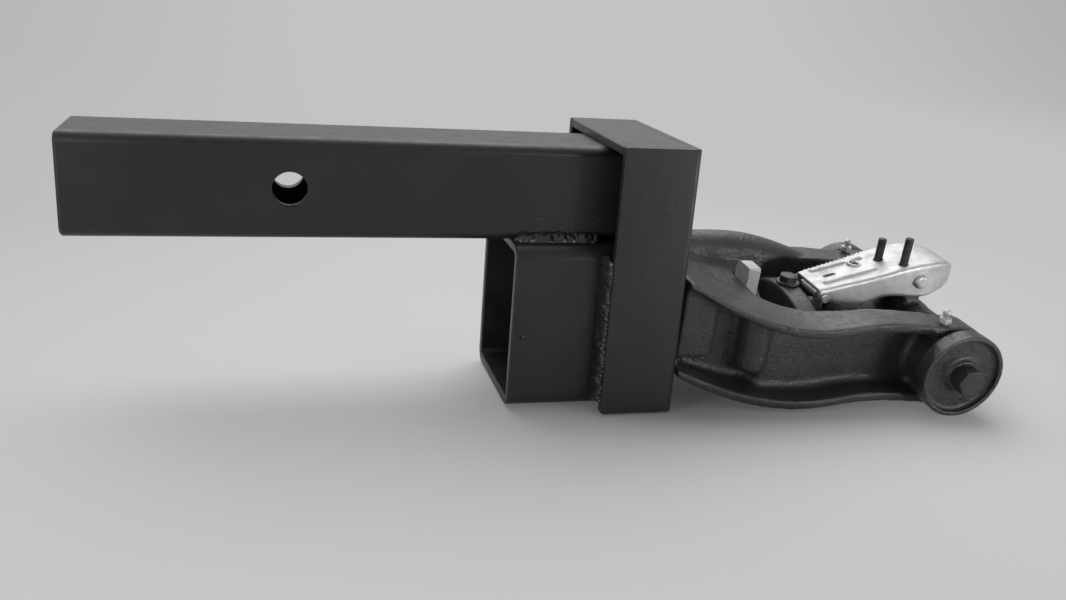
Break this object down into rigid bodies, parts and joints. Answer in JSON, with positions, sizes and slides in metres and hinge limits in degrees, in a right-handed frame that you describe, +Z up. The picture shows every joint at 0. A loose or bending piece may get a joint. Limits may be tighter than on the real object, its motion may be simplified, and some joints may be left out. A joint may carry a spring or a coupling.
{
  "type": "off-road trailer coupler",
  "caption": "Receiver-mounted trailer coupler: square shank and lower receiver on a welded bracket, rolling cast yoke, pitching ball socket with a lever latch.",
  "frame": {"origin": "centre of the hitch pin hole in the shank", "axes": "+X along the shank towards the ball socket, +Y along the hitch pin hole, +Z up"},
  "size_m": [0.5124, 0.1658, 0.1481],
  "materials": {
    "powder_coat": "satin black powder coat",
    "weld_bead": "weld bead under black powder coat",
    "cast_black": "black coated casting",
    "black_oxide": "black oxide",
    "bright_steel": "turned steel",
    "zinc_plate": "bright zinc plate",
    "grey_steel": "dull galvanised steel",
    "spring_steel": "spring steel",
    "bronze": "plain bronze"
  },
  "bodies": {
    "bracket": {"shank_tube": "powder_coat", "receiver_tube": "powder_coat", "bracket_channel": "powder_coat", "bracket_cap": "powder_coat", "shank_welds": "weld_bead", "tube_welds": "weld_bead", "roll_sleeve": "powder_coat", "roll_bush": "bronze"},
    "yoke": {"yoke": "cast_black", "thrust_washer": "bronze", "roll_spindle": "bright_steel", "spindle_washer": "zinc_plate", "spindle_nut": "zinc_plate", "split_pin": "zinc_plate", "stop_bar": "grey_steel", "stop_bar_bolts": "black_oxide", "grease_nipples": "zinc_plate", "root_welds": "weld_bead", "boss_bush_near": "bronze", "boss_bush_far": "bronze"},
    "head": {"coupler_head": "cast_black", "collar_bolt": "black_oxide", "clamp_pin": "bright_steel", "clamp_spring": "spring_steel", "lever_rivet": "zinc_plate", "pivot_pin_near": "bright_steel", "pivot_pin_far": "bright_steel", "side_washer_near": "bronze", "side_washer_far": "bronze", "end_cap_near": "cast_black", "end_cap_far": "cast_black", "cap_bolt_near": "black_oxide", "cap_bolt_far": "black_oxide"},
    "clamp": {"ball_clamp": "grey_steel"},
    "lever": {"latch_lever": "zinc_plate", "lever_pin_rear": "black_oxide", "lever_pin_front": "black_oxide", "tip_pin": "zinc_plate"},
    "roller": {"tip_roller": "zinc_plate"}
  },
  "joints": [
    {"name": "yoke_roll", "type": "hinge", "parent": "bracket", "child": "yoke", "pos_m": [0.2058, 0, -0.0654], "axis": [1, 0, 0], "continuous": true},
    {"name": "head_pitch", "type": "hinge", "parent": "yoke", "child": "head", "pos_m": [0.3748, 0.00203, -0.08469], "axis": [0, 0.9945, 0.1045], "range_deg": [-45, 45]},
    {"name": "latch_lift", "type": "hinge", "parent": "head", "child": "lever", "pos_m": [0.3728, -0.0017, -0.04919], "axis": [0, 0.9945, 0.1045], "range_deg": [0, 35]},
    {"name": "clamp_swing", "type": "hinge", "parent": "head", "child": "clamp", "pos_m": [0.3298, 0.00251, -0.08927], "axis": [0, 0.9945, 0.1045], "range_deg": [0, 12]},
    {"name": "roller_spin", "type": "hinge", "parent": "lever", "child": "roller", "pos_m": [0.3118, -0.00048, -0.06082], "axis": [0, 0.9945, 0.1045], "continuous": true}
  ],
  "couplings": [
    {"joint": "clamp_swing", "follows": "latch_lift", "ratio": 0.34286}
  ]
}
